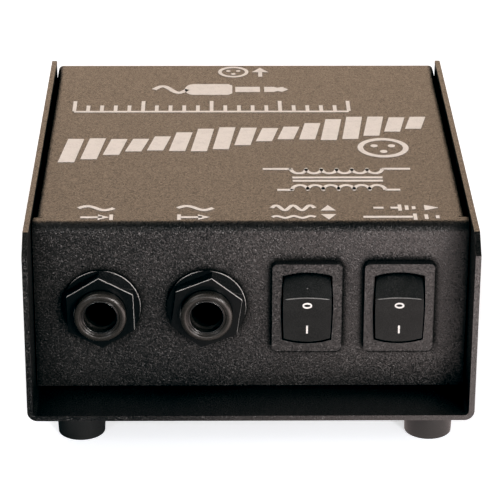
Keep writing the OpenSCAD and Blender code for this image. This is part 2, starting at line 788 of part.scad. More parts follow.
module hot_wires() {
    tip_z = control_z + 4.8;
    coil_x = core_x + 2.5;
    color("#a02020") placed() {
        wire([in_jack_x, jack_lug_y + 0.5, tip_z], [0, 6, 3], [out_jack_x - 0.9, jack_lug_y + 0.5, tip_z], [0, 7, 4]);
        wire([out_jack_x + 0.9, jack_lug_y + 0.5, tip_z], [4, 8, 4], [level_switch_x, terminal_y + 0.6, control_z + 6], [0, 10, 0]);
        wire([level_switch_x, terminal_y + 0.6, control_z], [0, 8, 2], [strip_x - 2 * lug_pitch, strip_y - 0.2, 20.2], [0, -8, 2]);
        wire([coil_x, core_y + 11.9, 19], [0, 6, 3], [-4.1, pin_y - 0.2, outlet_z + 1.6], [0, -9, 0]);
    }
}

module cold_wires() {
    color("#d8d4cc") placed() {
        wire([core_x - 2.5, core_y + 11.9, 19], [0, 10, 9], [4.1, pin_y - 0.2, outlet_z + 1.6], [0, -8, 6]);
        wire([core_x + 2, core_y - 11.9, 19], [0, -6, 4], [level_switch_x, terminal_y + 0.6, control_z - 6], [0, 12, 0]);
    }
}

module ground_wires() {
    color("#2c5c38") placed() {
        wire([in_jack_x, jack_lug_y + 0.5, control_z - 4.8], [0, 5, -3],
            [out_jack_x, jack_lug_y + 0.5, control_z - 4.8], [0, 5, -3]);
        wire([ground_switch_x, terminal_y + 0.6, control_z], [0, 9, 0],
            [strip_x + 2 * lug_pitch, strip_y - 0.2, 20.2], [0, -9, 3]);
        wire([clamp_screw_x()[1], core_y + 10.8, floor_z + 1.05], [0, 8, 4],
            [0, pin_y - 0.2, outlet_z - 4], [0, -8, 0]);
    }
}

base_channel();
cover();
clinch_nuts();
cover_screws();
foot_front_left();
foot_front_right();
foot_rear_left();
foot_rear_right();
foot_pads();
in_jack_housing();
in_jack_washer();
in_jack_nut();
in_jack_tip_spring();
in_jack_sleeve_contact();
in_jack_switch_contact();
out_jack_housing();
out_jack_washer();
out_jack_nut();
out_jack_tip_spring();
out_jack_sleeve_contact();
out_jack_switch_contact();
level_switch_housing();
level_rocker();
level_plunger();
level_plunger_spring();
level_seesaw_contact();
level_terminals();
ground_switch_housing();
ground_rocker();
ground_plunger();
ground_plunger_spring();
ground_seesaw_contact();
ground_terminals();
outlet_shell();
outlet_insert();
outlet_pins();
outlet_screws();
outlet_nuts();
transformer_core();
transformer_bobbin();
transformer_winding();
transformer_tape();
transformer_clamp();
transformer_screws();
transformer_nuts();
tag_strip_board();
tag_strip_lugs();
tag_strip_screw();
tag_strip_nut();
pad_resistors();
ground_lug();
hot_wires();
cold_wires();
ground_wires();
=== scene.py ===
"""Looks of a passive direct injection box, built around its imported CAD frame.

Units are metres in the shared frame: +Z up, the front panel faces -Y, and the feet stand on Z = 0.
"""
import json
import math

import bmesh
import bpy
from mathutils import Matrix, Vector
from mathutils.bvhtree import BVHTree


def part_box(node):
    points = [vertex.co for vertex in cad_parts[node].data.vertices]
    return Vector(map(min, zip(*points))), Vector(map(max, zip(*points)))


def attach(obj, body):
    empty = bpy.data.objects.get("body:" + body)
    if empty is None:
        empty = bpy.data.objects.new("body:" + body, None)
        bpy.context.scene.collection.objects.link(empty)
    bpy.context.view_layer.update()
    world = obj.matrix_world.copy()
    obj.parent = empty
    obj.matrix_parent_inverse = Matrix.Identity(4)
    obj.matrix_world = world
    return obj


MM = 0.001

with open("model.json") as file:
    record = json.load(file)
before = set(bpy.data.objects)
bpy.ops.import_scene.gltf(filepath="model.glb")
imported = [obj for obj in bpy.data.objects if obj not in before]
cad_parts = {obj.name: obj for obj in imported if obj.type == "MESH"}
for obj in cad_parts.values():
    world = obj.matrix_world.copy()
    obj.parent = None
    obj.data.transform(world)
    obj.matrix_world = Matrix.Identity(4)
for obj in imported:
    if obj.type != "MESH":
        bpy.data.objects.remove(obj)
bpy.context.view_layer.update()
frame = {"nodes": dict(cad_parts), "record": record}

# ---- places taken from the frame ----

cover_low, cover_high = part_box("cover")
TOP_Z = cover_high.z
PANEL_Y = cover_low.y


# ---- node graphs ----

TO_FRONT = (0.0, -1.0, 0.0)
# Blender's Mix node repeats its sockets for each kind of data, so the colour ones go by number
MIX_A, MIX_B, MIX_RESULT = 6, 7, 2


class Graph:
    """A material's node tree, with one short call for each kind of node it needs."""

    def __init__(self, name):
        self.material = bpy.data.materials.new(name)
        self.material.use_nodes = True
        self.nodes = self.material.node_tree.nodes
        self.links = self.material.node_tree.links
        self.nodes.clear()
        self.surface = self.nodes.new("ShaderNodeBsdfPrincipled")
        output = self.nodes.new("ShaderNodeOutputMaterial")
        self.links.new(self.surface.outputs["BSDF"], output.inputs["Surface"])
        self.place = self.nodes.new("ShaderNodeTexCoord").outputs["Object"]

    def connect(self, source, socket):
        """Links a node output, or sets a plain value, on an input socket."""
        if isinstance(source, bpy.types.NodeSocket):
            self.links.new(source, socket)
        elif isinstance(source, (tuple, list)) and len(source) == 3 and socket.type == "RGBA":
            socket.default_value = (*source, 1.0)
        else:
            socket.default_value = source

    def set(self, **inputs):
        """Sets inputs of the surface shader; an underscore in a name stands for a space."""
        for name, source in inputs.items():
            self.connect(source, self.surface.inputs[name.replace("_", " ")])

    def stretched(self, factors):
        """The object's coordinates, each times its factor; a large one packs a pattern tighter that way."""
        node = self.nodes.new("ShaderNodeMapping")
        self.links.new(self.place, node.inputs["Vector"])
        node.inputs["Scale"].default_value = factors
        return node.outputs["Vector"]

    def noise(self, size, detail=2.0, rough=0.5, along=None):
        """Noise whose features are about size metres across, from 0 to 1."""
        node = self.nodes.new("ShaderNodeTexNoise")
        self.links.new(along or self.place, node.inputs["Vector"])
        node.inputs["Scale"].default_value = 1 / size
        node.inputs["Detail"].default_value = detail
        node.inputs["Roughness"].default_value = rough
        return node.outputs["Fac"]

    def ramp(self, value, low, high, to_low=0.0, to_high=1.0):
        """Maps value from low..high to to_low..to_high, and holds it there outside."""
        node = self.nodes.new("ShaderNodeMapRange")
        self.connect(value, node.inputs["Value"])
        for name, number in zip(("From Min", "From Max", "To Min", "To Max"), (low, high, to_low, to_high)):
            node.inputs[name].default_value = number
        return node.outputs["Result"]

    def blend(self, share, first, second):
        """A colour between first and second."""
        node = self.nodes.new("ShaderNodeMix")
        node.data_type = "RGBA"
        self.connect(share, node.inputs["Factor"])
        self.connect(first, node.inputs[MIX_A])
        self.connect(second, node.inputs[MIX_B])
        return node.outputs[MIX_RESULT]

    def calc(self, how, first, second=0.0):
        """A Math node's result; how is its operation's name."""
        node = self.nodes.new("ShaderNodeMath")
        node.operation = how
        self.connect(first, node.inputs[0])
        self.connect(second, node.inputs[1])
        return node.outputs[0]

    def add(self, first, second):
        return self.calc("ADD", first, second)

    def times(self, first, second):
        return self.calc("MULTIPLY", first, second)

    def dot(self, vector, other):
        """The dot product of a vector output with another output or a plain direction."""
        node = self.nodes.new("ShaderNodeVectorMath")
        node.operation = "DOT_PRODUCT"
        self.links.new(vector, node.inputs[0])
        self.connect(other, node.inputs[1])
        return node.outputs["Value"]

    def skin_normal(self):
        return self.nodes.new("ShaderNodeNewGeometry").outputs["Normal"]

    def rounded_normal(self, radius, samples=8):
        """The skin's normal as if its sharp edges were rounded by radius metres."""
        node = self.nodes.new("ShaderNodeBevel")
        node.samples = samples
        node.inputs["Radius"].default_value = radius
        return node.outputs["Normal"]

    def bump(self, height, depth, strength=1.0, under=None):
        """Normals of a relief that is depth metres deep where height is 1."""
        node = self.nodes.new("ShaderNodeBump")
        self.connect(height, node.inputs["Height"])
        node.inputs["Distance"].default_value = depth
        node.inputs["Strength"].default_value = strength
        if under is not None:
            self.links.new(under, node.inputs["Normal"])
        return node.outputs["Normal"]

    def facets(self, size, tilt):
        """Normals tilted at random by up to about tilt, patch by patch of about size metres."""
        cells = self.nodes.new("ShaderNodeTexVoronoi")
        self.links.new(self.place, cells.inputs["Vector"])
        cells.inputs["Scale"].default_value = 1 / size
        centred = self.nodes.new("ShaderNodeVectorMath")
        centred.operation = "MULTIPLY_ADD"
        self.links.new(cells.outputs["Color"], centred.inputs[0])
        centred.inputs[1].default_value = (2 * tilt,) * 3
        centred.inputs[2].default_value = (-tilt,) * 3
        tilted = self.nodes.new("ShaderNodeVectorMath")
        self.links.new(centred.outputs["Vector"], tilted.inputs[0])
        self.links.new(self.skin_normal(), tilted.inputs[1])
        unit = self.nodes.new("ShaderNodeVectorMath")
        unit.operation = "NORMALIZE"
        self.links.new(tilted.outputs["Vector"], unit.inputs[0])
        return unit.outputs["Vector"]

    def edges(self, width):
        """1 on sharp edges, within about width metres of them, and 0 on flat ground."""
        return self.ramp(self.dot(self.rounded_normal(width, samples=4), self.skin_normal()), 0.995, 0.90)

    def leaning_edges(self, up, width):
        """1 on front edges that turn to up, apart from those that turn straight above; 0 on flat faces."""
        rounded = self.rounded_normal(width)
        mask = self.times(*(self.ramp(self.dot(rounded, way), 0.13, 0.38) for way in (up, TO_FRONT)))
        split = self.nodes.new("ShaderNodeSeparateXYZ")
        self.links.new(rounded, split.inputs[0])
        aside = self.calc("ABSOLUTE", split.outputs["X"])
        return self.times(mask, self.ramp(aside, 0.06, 0.22))

    def turned_to(self, direction, width, low=0.05, high=0.35):
        """1 where the skin, with edges rounded by width metres, turns to direction. It starts at the cosine
        low and is full at the cosine high."""
        return self.ramp(self.dot(self.rounded_normal(width), direction), low, high)

    def open_ground(self, reach):
        """1 on open ground, falling towards 0 within about reach metres of an inner corner."""
        node = self.nodes.new("ShaderNodeAmbientOcclusion")
        node.samples = 8
        node.inputs["Distance"].default_value = reach
        return self.ramp(node.outputs["AO"], 0.50, 0.98)


# ---- materials ----

# The way the fold between the cover's top and front faces turns, where the coat's gloss is turned down as
# painted shade
FRONT_FOLD = (0.0, -0.71, 0.71)
# The ways that the nut and washer edges with a painted highlight, and the bezel edges with painted shade,
# turn
HIGHLIT_EDGE_SIDE = (0.45, 0.0, 0.89)
SHADED_SIDE = (0.35, 0.0, -0.94)
SHADE = (0.001, 0.001, 0.001)


def scaled(colour, factor, lift=0.0):
    """A colour made lighter or darker by a factor and a lift."""
    return tuple(min(1.0, c * factor + lift) for c in colour)


def powder_coat(name, dark, light):
    """Fine-textured powder coat: a pebbled glossy skin with tiny glints, rubbed a little on its edges.
    Its gloss is turned down towards inner corners and on the front fold, as painted shade."""
    g = Graph(name)
    pebbles = g.noise(0.36 * MM, detail=2.0, rough=0.55)
    coarse = g.noise(0.9 * MM, detail=1.0)
    drift = g.noise(25 * MM, detail=2.0)
    height = g.add(pebbles, g.times(coarse, 0.25))
    worn = g.times(g.edges(0.30 * MM), g.ramp(pebbles, 0.45, 0.62))
    base = g.blend(g.ramp(g.add(drift, pebbles), 0.8, 1.2), dark, light)
    # Painted shade: gloss turned down near inner corners, more softly within 9 mm of them, and on the front
    # fold
    near_corner = g.ramp(g.open_ground(1.5 * MM), 0.25, 0.95, 0.0, 0.62)
    far_corner = g.ramp(g.open_ground(9 * MM), 0.0, 0.85, 0.20, 1.0)
    fold = g.ramp(g.turned_to(FRONT_FOLD, 0.10 * MM, 0.74, 0.86), 0.0, 1.0, 1.0, 0.35)
    g.set(
        Base_Color=g.blend(g.times(worn, 0.15), base, (0.15, 0.13, 0.115)),
        Specular_IOR_Level=g.times(near_corner, g.times(fold, far_corner)),
        Roughness=g.ramp(pebbles, 0.3, 0.7, 0.24, 0.42),
        Normal=g.bump(height, 0.10 * MM, 1.0, under=g.facets(0.22 * MM, 0.19)),
    )
    return g.material


def moulded(
    name, colour, rough=0.5, grain=0.25, relief=0.02,
    fleck=0.2, shine=0.5, tilt=0.03, deep=0.0, dark_side=None,
):
    """Moulded plastic or rubber with a fine grain; grain and relief are its size and depth in millimetres.
    With deep, hollows are painted black within about that many millimetres of their walls, as painted shade.
    With dark_side, edges that turn that way are painted black, as painted shade."""
    g = Graph(name)
    fine = g.noise(grain * MM, detail=2.0)
    patch = g.noise(7 * MM, detail=3.0)
    scuffed = g.times(g.edges(0.25 * MM), g.ramp(patch, 0.4, 0.7))
    base = g.blend(g.ramp(patch, 0.3, 0.7), colour, scaled(colour, 1 + fleck, 0.003))
    skin = g.blend(g.times(scuffed, 0.5), base, scaled(colour, 1.6, 0.02))
    # Painted shade: hollows blacken and lose gloss towards their walls
    if deep:
        open_air = g.open_ground(deep * MM)
        skin = g.blend(open_air, SHADE, skin)
        shine = g.times(open_air, shine)
    # Painted shade: edges that turn to dark_side blacken and lose gloss
    if dark_side:
        lit = g.calc("SUBTRACT", 1.0, g.turned_to(dark_side, 0.5 * MM))
        skin = g.blend(lit, SHADE, skin)
        shine = g.times(lit, shine)
    g.set(
        Base_Color=skin,
        Roughness=g.ramp(g.add(fine, g.times(patch, 0.6)), 0.4, 1.1, rough - 0.08, rough + 0.10),
        Specular_IOR_Level=shine,
        Normal=g.bump(fine, relief * MM, 0.7, under=g.facets(grain * MM, tilt)),
    )
    return g.material


def gloss_black(name, colour):
    """Black nickel: a dark glossy face with dust-fine haze; its upper and right edges are painted pale as a
    painted highlight.
    """
    g = Graph(name)
    wave = g.noise(2.5 * MM, detail=1.0)
    haze = g.noise(0.2 * MM, detail=3.0)
    # Painted highlight: pale colour on the edges that lean up and to the right
    rim = g.leaning_edges(HIGHLIT_EDGE_SIDE, 0.36 * MM)
    g.set(
        Base_Color=g.blend(rim, colour, (0.56, 0.54, 0.52)),
        Roughness=g.ramp(haze, 0.3, 0.75, 0.14, 0.28),
        Specular_IOR_Level=0.17,
        Normal=g.bump(wave, 0.03 * MM, 0.6),
    )
    return g.material


def metal(name, colour, rough):
    """Plated or bare metal with fine tool marks square to Z, and dull patches."""
    g = Graph(name)
    marks = g.noise(1.6 * MM, detail=4.0, rough=0.7, along=g.stretched((1, 1, 14)))
    patch = g.noise(4 * MM, detail=2.0)
    g.set(
        Base_Color=g.blend(g.ramp(patch, 0.35, 0.7), colour, scaled(colour, 0.75)),
        Metallic=1.0,
        Roughness=g.ramp(g.add(marks, patch), 0.7, 1.3, rough - 0.08, rough + 0.15),
        Normal=g.bump(marks, 0.02 * MM, 0.5),
    )
    return g.material


def ink(name, colour):
    """Screen-printed ink, slightly uneven where the powder coat's pebbles show through."""
    g = Graph(name)
    pebbles = g.noise(0.34 * MM, detail=2.0, rough=0.55)
    thin = g.noise(2.2 * MM, detail=3.0)
    g.set(
        Base_Color=g.blend(g.ramp(g.add(pebbles, thin), 0.95, 1.3), colour, scaled(colour, 0.86)),
        Roughness=g.ramp(pebbles, 0.3, 0.7, 0.45, 0.62),
        Normal=g.bump(pebbles, 0.05 * MM, 0.8),
    )
    return g.material


def laminations(name, colour):
    """A stack of thin varnished steel sheets, seen as fine lines across the stack."""
    g = Graph(name)
    sheets = g.noise(0.5 * MM, detail=1.0, along=g.stretched((0.02, 1, 0.02)))
    stain = g.noise(5 * MM, detail=3.0)
    g.set(
        Base_Color=g.blend(g.ramp(stain, 0.3, 0.75), colour, scaled(colour, 0.5)),
        Metallic=0.6,
        Roughness=g.ramp(sheets, 0.3, 0.7, 0.35, 0.6),
        Normal=g.bump(sheets, 0.08 * MM, 0.9),
    )
    return g.material


def wound(name, colour):
    """Enamelled wire laid side by side, turn on turn."""
    g = Graph(name)
    turns = g.noise(0.3 * MM, detail=0.0, along=g.stretched((0.02, 0.02, 1)))
    g.set(
        Base_Color=g.blend(g.ramp(turns, 0.35, 0.65), colour, scaled(colour, 0.4)),
        Metallic=0.8,
        Roughness=g.ramp(turns, 0.3, 0.7, 0.26, 0.40),
        Normal=g.bump(turns, 0.12 * MM, 1.0),
    )
    return g.material


# How each of the record's material slots is finished, from its name n and its stated colour c
RECIPES = {
    "powder_black": lambda n, c: powder_coat(n, (0.0030, 0.0029, 0.0028), (0.0090, 0.0080, 0.0073)),
    "print_white": lambda n, c: ink(n, (0.80, 0.76, 0.73)),
    "zinc_steel": lambda n, c: metal(n, c, 0.28),
    "black_screw": lambda n, c: moulded(n, (0.012, 0.012, 0.012), 0.34, 0.3, 0.03),
    "rubber_black": lambda n, c: moulded(n, (0.010, 0.0095, 0.009), 0.58, 0.3, 0.05, shine=0.35),
    "pad_foam": lambda n, c: moulded(n, (0.010, 0.010, 0.010), 0.8, 0.2, 0.06, shine=0.2),
    # Painted shade: deep blackens the bushing's hollows, such as its bore
    "socket_plastic": lambda n, c: moulded(n, (0.022, 0.019, 0.016), 0.26, 0.2, 0.015, shine=0.45, deep=6.0),
    "gloss_black": lambda n, c: gloss_black(n, (0.005, 0.005, 0.005)),
    "spring_nickel": lambda n, c: metal(n, c, 0.22),
    # Painted shade: dark_side blackens the bezel edges that turn down
    "bezel_plastic": lambda n, c: moulded(
        n, (0.0075, 0.0068, 0.0064), 0.34, 0.26, 0.06, shine=0.5, tilt=0.20, dark_side=SHADED_SIDE
    ),
    # Painted shade: deep darkens the rocker's recessed end
    "rocker_plastic": lambda n, c: moulded(
        n, (0.008, 0.008, 0.0075), 0.24, 0.22, 0.03, shine=0.15, tilt=0.05, deep=2.4
    ),
    "plunger_nylon": lambda n, c: moulded(n, c, 0.45),
    "contact_brass": lambda n, c: metal(n, c, 0.3),
    "tinned_brass": lambda n, c: metal(n, c, 0.3),
    "outlet_black": lambda n, c: moulded(n, (0.014, 0.013, 0.012), 0.38, 0.3, 0.03),
    "insert_plastic": lambda n, c: moulded(n, c, 0.5),
    "pin_gold": lambda n, c: metal(n, c, 0.18),
    "lamination_steel": laminations,
    "bobbin_nylon": lambda n, c: moulded(n, c, 0.45),
    "enamel_copper": wound,
    "coil_tape": lambda n, c: moulded(n, c, 0.3, 0.8, 0.02),
    "phenolic_board": lambda n, c: moulded(n, c, 0.45, 0.5, 0.03),
    "resistor_lacquer": lambda n, c: moulded(n, c, 0.25, 0.6, 0.02),
    "wire_red": lambda n, c: moulded(n, c, 0.38),
    "wire_white": lambda n, c: moulded(n, c, 0.38),
    "wire_green": lambda n, c: moulded(n, c, 0.38),
}

MATERIALS = {
    entry["slot"]: RECIPES[entry["slot"]](entry["slot"], tuple(entry["base_color"][:3]))
    for entry in frame["record"]["materials"]
}
MATERIALS["lip_black"] = moulded("lip_black", (0.006, 0.006, 0.006), 0.12, 0.2, 0.01, shine=0.9)
# crest_pale colours the painted highlight along each rocker's ridge, and the pale gate mark
MATERIALS["crest_pale"] = moulded("crest_pale", (0.15, 0.15, 0.145), 0.35, 0.2, 0.02, fleck=0.1)


# ---- CAD nodes ----

# For nodes with these words in their names: edge rounding in millimetres, and the least angle in degrees
# that counts as an edge. The first match holds.
EDGES = {
    "base_channel": (0.22, 30),
    "cover": (0.15, 35),
    "foot_pads": (0, 0),
    "foot_": (0.7, 50),
    "jack_nut": (0.16, 35),
    "jack_washer": (0.48, 50),
    "jack_housing": (0.13, 50),
    "switch_housing": (0.42, 50),
    "_rocker": (0.26, 16),
    "outlet_shell": (0.35, 50),
    "wires": (0, 0),
    "spring": (0, 0),
}
OTHER_EDGES = (0.10, 40)
EDGE_SEGMENTS = 3


def soften(piece, width, angle):
    """Rounds a piece's sharp edges with a bevel and smooths its shading."""
    for face in piece.data.polygons:
        face.use_smooth = True
    bevel = piece.modifiers.new("round_edges", "BEVEL")
    bevel.width = width
    bevel.segments = EDGE_SEGMENTS
    bevel.limit_method = "ANGLE"
    bevel.angle_limit = math.radians(angle)
    bevel.harden_normals = True
    bevel.use_clamp_overlap = True


def finish_cad_nodes():
    """Gives every carried-over CAD node its material and rounded edges."""
    for entry in frame["record"]["subparts"]:
        node = frame["nodes"][entry["node"]]
        node.data.materials.clear()
        node.data.materials.append(MATERIALS[entry["material_slot"]])
        width, angle = next((e for key, e in EDGES.items() if key in entry["node"]), OTHER_EDGES)
        if width:
            soften(node, width * MM, angle)


finish_cad_nodes()


# ---- visual pieces in general ----

def finish_piece(name, bm, body, finish):
    """Makes a piece of the mesh bm, which rides on a body and wears a finish."""
    bmesh.ops.recalc_face_normals(bm, faces=bm.faces)
    mesh = bpy.data.meshes.new(name)
    bm.to_mesh(mesh)
    bm.free()
    piece = bpy.data.objects.new(name, mesh)
    bpy.context.scene.collection.objects.link(piece)
    mesh.materials.append(MATERIALS[finish])
    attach(piece, body)


def bridge(bm, here, there):
    """A smooth band of faces between two closed loops of as many points."""
    for j in range(len(here)):
        k = (j + 1) % len(here)
        bm.faces.new((here[j], here[k], there[k], there[j])).smooth = True


# ---- socket rims ----

# Sections in millimetres: radius, and depth behind the bushing's front face
RIM = [
    (5.60, 0.80), (5.57, 0.48), (5.44, 0.22), (5.18, 0.01), (4.86, -0.09), (4.56, -0.06), (4.38, 0.04),
    (4.24, 0.20), (4.14, 0.34), (4.06, 0.36), (3.98, 0.28), (3.88, 0.24), (3.80, 0.30), (3.76, 0.44),
    (3.90, 0.90), (5.20, 1.20),
]
LIP = [
    (3.80, 0.42), (3.72, 0.34), (3.63, 0.36), (3.57, 0.46), (3.55, 0.62), (3.56, 0.80), (3.70, 0.95),
    (3.80, 0.80),
]
LATHE_STEPS = 96


def lathe(name, section, centre, body, finish):
    """A closed ring turned about the Y axis through centre; section holds radii and depths."""
    bm = bmesh.new()
    loops = []
    for i in range(LATHE_STEPS):
        a = 2 * math.pi * i / LATHE_STEPS
        points = [Vector((r * math.cos(a), depth, r * math.sin(a))) for r, depth in section]
        loops.append([bm.verts.new(centre + point * MM) for point in points])
    for i in range(LATHE_STEPS):
        bridge(bm, loops[i], loops[(i + 1) % LATHE_STEPS])
    finish_piece(name, bm, body, finish)


def socket_rims():
    """The rounded rim and the polished inner lip at the mouth of each socket's bushing."""
    for kind in ("in", "out"):
        low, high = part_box(kind + "_jack_washer")
        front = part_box(kind + "_jack_housing")[0].y
        centre = Vector(((low.x + high.x) / 2, front, (low.z + high.z) / 2))
        lathe(kind + "_jack_rim", RIM, centre, "box", "socket_plastic")
        lathe(kind + "_jack_lip", LIP, centre, "box", "lip_black")


socket_rims()


# ---- outlines for printed marks, in millimetres ----

def bar(x, y, w, h, lean=0.0):
    """A bar's corners: its centre, width, height, and how far its top leans to the right."""
    return [
        (x - w / 2 - lean / 2, y - h / 2),
        (x + w / 2 - lean / 2, y - h / 2),
        (x + w / 2 + lean / 2, y + h / 2),
        (x - w / 2 + lean / 2, y + h / 2),
    ]


def arc(x, y, rx, ry, start, end, steps=20):
    """Points along an elliptical arc, with its angles in degrees."""
    angles = [math.radians(start + (end - start) * i / steps) for i in range(steps + 1)]
    return [(x + rx * math.cos(a), y + ry * math.sin(a)) for a in angles]


def disc(x, y, r):
    return arc(x, y, r, r, 0, 345, 23)


def stroke(points, width):
    """The outline of a line of even width through the points."""
    left, right = [], []
    for i, point in enumerate(points):
        ahead = Vector(points[min(i + 1, len(points) - 1)])
        behind = Vector(points[max(i - 1, 0)])
        along = (ahead - behind).normalized()
        side = Vector((-along.y, along.x)) * width / 2
        left.append(tuple(Vector(point) + side))
        right.append(tuple(Vector(point) - side))
    return left + right[::-1]


def ring(x, y, rx, ry, width):
    """A ring as two half strokes, so that each outline is simple."""
    return [stroke(arc(x, y, rx, ry, start, start + 180), width) for start in (0, 180)]


def wave(x, y, w, h, cycles=1.0, steps=36):
    """Points along a sine wave, centred on x, y."""
    turn = 2 * math.pi * cycles / steps
    return [(x - w / 2 + w * i / steps, y + h / 2 * math.sin(turn * i)) for i in range(steps + 1)]


def triangle(x, y, w, h, turn):
    """A solid triangle that points right, turned by turn degrees."""
    a = math.radians(turn)
    across, up = math.cos(a), math.sin(a)
    corners = [(-w / 2, -h / 2), (w / 2, 0), (-w / 2, h / 2)]
    return [(x + u * across - v * up, y + u * up + v * across) for u, v in corners]


def three_pins(x, y, circle, r):
    """Three dots on a circle, one of them straight below its middle."""
    angles = [math.radians(a) for a in (-90, 30, 150)]
    return [disc(x + circle * math.cos(a), y + circle * math.sin(a), r) for a in angles]


# ---- printed marks ----

INK_T = 0.05 * MM
INK_ROOT = 0.02 * MM
UPWARD = Vector((0, 0, 1))


def print_marks(name, outlines, body, lay, out):
    """One piece of ink: closed outlines laid on a surface by lay(x, y), and raised along out."""
    bm = bmesh.new()
    for outline in outlines:
        root = [bm.verts.new(lay(x, y) - out * INK_ROOT) for x, y in outline]
        face = [bm.verts.new(lay(x, y) + out * INK_T) for x, y in outline]
        bm.faces.new(face)
        bm.faces.new(root[::-1])
        for i in range(len(outline)):
            j = (i + 1) % len(outline)
            bm.faces.new((root[i], root[j], face[j], face[i]))
    bmesh.ops.triangulate(bm, faces=[f for f in bm.faces if len(f.verts) > 4])
    finish_piece(name, bm, body, "print_white")


def on_top(x, y):
    """A point on the cover's top, in millimetres: x from the middle, y back from the front panel's face."""
    return Vector((x * MM, PANEL_Y + y * MM, TOP_Z))


def print_on_top(name, outlines):
    print_marks(name, outlines, "box", on_top, UPWARD)


# Two rows of signs stand above the sockets and switches
UPPER_ROW = 8.6
LOWER_ROW = 3.7
# Widths of lines
FINE = 0.8
LINE = 0.9
BOLD = 1.3


def socket_legends():
    """A wave over an arrow: into a bar by the input, and out of one by the linked output."""
    for name, x, bar_at in (("print_input", -33.3, 3.45), ("print_output", -11.9, -3.45)):
        print_on_top(name, [
            stroke(wave(x, UPPER_ROW, 7.6, 2.2), 1.0),
            bar(x - 0.8, LOWER_ROW, 4.6, FINE),
            triangle(x + 1.8, LOWER_ROW, 2.4, 2.8, 0),
            bar(x + bar_at, LOWER_ROW, FINE, 2.8),
        ])


def level_legend():
    """Tall waves with an arrow up, and low waves with an arrow down."""
    waves_x, arrow_x = 9.2, 16.7
    length, cycles = 9.2, 2.5
    print_on_top("print_level", [
        stroke(wave(waves_x, UPPER_ROW, length, 2.6, cycles), LINE),
        triangle(arrow_x, UPPER_ROW, 2.8, 3.2, 90),
        stroke(wave(waves_x, LOWER_ROW, length, 1.0, cycles), FINE),
        triangle(arrow_x, LOWER_ROW, 2.8, 3.2, -90),
    ])


def ground_legend():
    """The sign for ground with its lead broken, over the same sign with its lead whole."""
    marks = [
        bar(27.6, UPPER_ROW, 2.2, LINE),
        bar(31.0, UPPER_ROW, 1.6, LINE),
        triangle(39.0, UPPER_ROW, 3.0, 2.8, 0),
        bar(29.4, LOWER_ROW, 10.6, LINE),
    ]
    for row, first_x, step in ((UPPER_ROW, 32.2, 1.5), (LOWER_ROW, 35.2, 2.4)):
        for i in range(3):
            marks.append(bar(first_x + i * step, row, FINE, 3.2 - 0.9 * i))
    print_on_top("print_ground", marks)


def transformer_sign():
    """Two windings and the core between them."""
    loops, loop_w, loop_h = 6, 3.4, 2.6
    middle = 19.5
    start = middle - loops * loop_w / 2
    end = middle + loops * loop_w / 2
    marks = []
    for y, side, half in ((30.6, 1, 16.5), (18.6, -1, 13.5)):
        left, right = middle - half, middle + half
        for i in range(loops):
            x = start + (i + 0.5) * loop_w
            marks.append(stroke(arc(x, y, loop_w / 2, loop_h, 180, 180 + 180 * side, 14), LINE))
            marks.append(disc(x - loop_w / 2, y, LINE / 2))
        marks.append(bar((left + start) / 2, y, start - left, LINE))
        marks.append(bar((end + right) / 2, y, right - end, LINE))
    marks += [bar(middle, y, 20.0, LINE) for y in (23.7, 25.6)]
    print_on_top("print_transformer", marks)


def outlet_sign():
    """A round outlet with three pins, seen from its front."""
    x, y, r = 30.7, 43.2, 5.2
    print_on_top("print_outlet_sign", ring(x, y, r, r, BOLD) + three_pins(x, y, 2.3, 0.85))


def level_bars():
    """A row of bold slanted bars that climbs to the right, like a signal on a meter."""
    count, swings = 17, 2.5
    first_x, first_y = -40.4, 41.8
    run, rise = 79.6, 17.0
    marks = []
    for i in range(count):
        t = i / (count - 1)
        swing = 0.5 + 0.5 * math.cos(2 * math.pi * swings * t)
        marks.append(bar(first_x + run * t, first_y + rise * t, 3.7, 7.5 + 6.5 * swing, 1.6))
    print_on_top("print_level_bars", marks)


def scale_line():
    """A fine scale in front of the plug sign."""
    length, steps = 65.0, 20
    start_x, y = -41.0, 66.2
    marks = [bar(start_x + length / 2, y, length, LINE)]
    for i in range(steps + 1):
        tall = 6.5 if i % 5 == 0 else 3.6
        marks.append(bar(start_x + i * length / steps, y + 0.4 + tall / 2, LINE, tall))
    print_on_top("print_scale", marks)


def plug_sign():
    """A quarter-inch plug lying on its side, with its cable."""
    y = 81.0
    nose = [(-4.5, y - 3.6), (-3.5, y - 2.6), (-3.5, y + 2.6), (-4.5, y + 3.6)]
    handle = arc(-13.0, y, 2.0, 3.6, 90, 270, 8) + nose
    sleeve = bar(0.2, y, 6.0, 3.4)
    under = [(4.2, y - 1.7), (6.4, y - 1.7), (7.4, y - 1.1), (8.6, y - 1.6)]
    over = [(8.6, y + 1.6), (7.4, y + 1.1), (6.4, y + 1.7), (4.2, y + 1.7)]
    tip = under + [(10.0, y)] + over
    cable = stroke(wave(-18.4, y, 8.0, 4.4, 1.0, 24), BOLD)
    print_on_top("print_plug", [handle, sleeve, tip, cable])


def rear_legend():
    """By the rear edge: three pins in a ring, and an arrow to the rear panel."""
    x, y, r = -3.2, 93.2, 3.3
    arrow = [triangle(3.4, 94.6, 3.0, 4.0, 90), bar(3.4, 91.6, 1.0, 3.4)]
    print_on_top("print_rear", ring(x, y, r, r, LINE) + three_pins(x, y, 1.4, 0.55) + arrow)


# ---- rockers ----

SWITCHES = ("level", "ground")
FORWARD = Vector((0, -1, 0))
BACKWARD = Vector((0, 1, 0))
# The crest line and the gate mark, in millimetres from the middle of the bezel
CREST_STEPS = 10
CREST_HALF = 4.75
CREST_UP = 2.62
CREST_BULGE = 0.30
CREST_R = 0.13
GATE_UP = 4.75
GATE_R = 0.14
GATE_HALF = 0.16
BEAD_SIDES = 8
# How thick a bead is at its ends, as a share of its thickness between them
BEAD_END = 0.35


